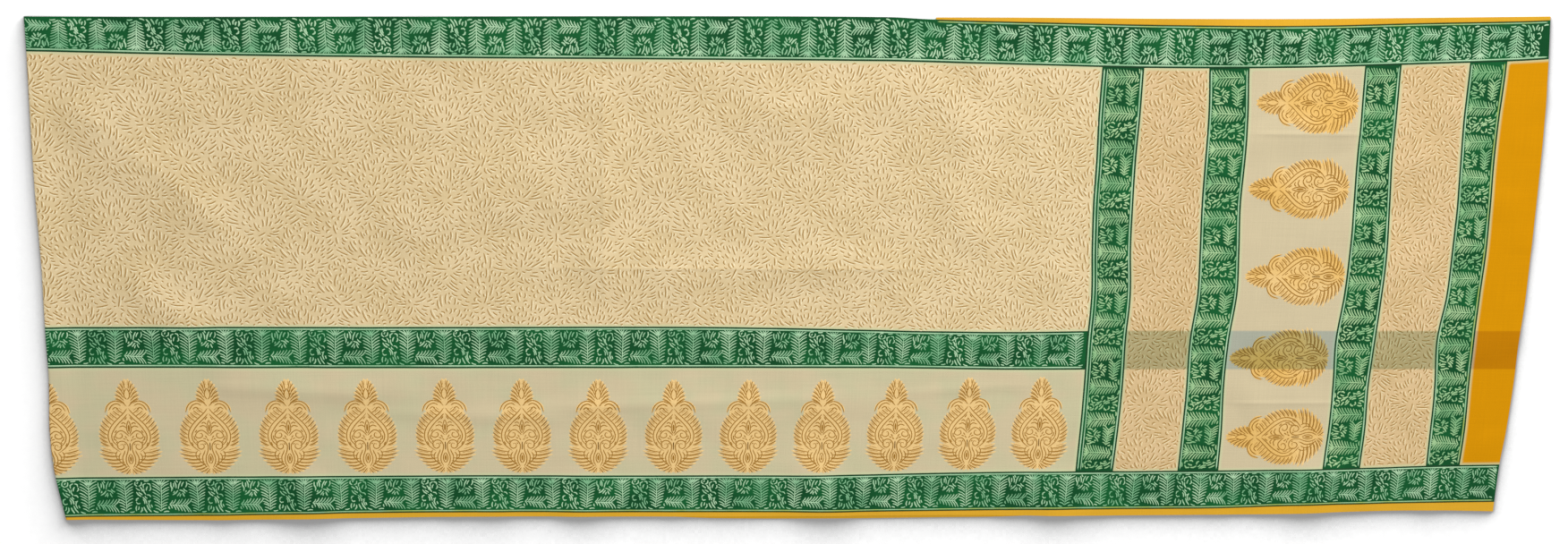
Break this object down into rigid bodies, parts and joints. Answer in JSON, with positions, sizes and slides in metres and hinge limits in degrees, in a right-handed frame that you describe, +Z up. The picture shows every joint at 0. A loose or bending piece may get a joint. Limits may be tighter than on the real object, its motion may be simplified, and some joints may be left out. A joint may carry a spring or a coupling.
{
  "type": "folded saree",
  "caption": "Printed silk saree, folded in half and laid flat: patterned body with motif strip and borders, and a pallu end with cross bands.",
  "frame": {"origin": "bottom centre of the bounding box, on the surface that the cloth lies on", "axes": "+X along the cloth from the fold to the pallu's end, +Y across it to the upper edge, +Z up off the surface"},
  "size_m": [3.1641, 1.1145, 0.0074],
  "materials": {
    "green_print": "resist-printed silk, pale fern pattern on bottle green, soft sheen",
    "tan_print": "printed silk, fine coral vine in brown on sand, soft sheen",
    "celadon_silk": "plain-woven silk in grey-green with gold pine-cone motifs",
    "grey_silk": "plain-woven silk in grey-beige with gold pine-cone motifs",
    "yellow_silk": "plain-woven silk in mustard yellow, slubbed, soft sheen"
  },
  "bodies": {
    "root": {"under_layer": "yellow_silk", "selvedge_lower": "yellow_silk", "border_lower": "green_print", "motif_strip": "celadon_silk", "border_inner": "green_print", "body_field": "tan_print", "border_upper": "green_print", "selvedge_upper": "yellow_silk", "cross_band_1": "green_print", "pallu_panel_1": "tan_print", "cross_band_2": "green_print", "pallu_panel_2": "grey_silk", "cross_band_3": "green_print", "pallu_panel_3": "tan_print", "cross_band_4": "green_print", "end_panel": "yellow_silk"}
  },
  "joints": []
}
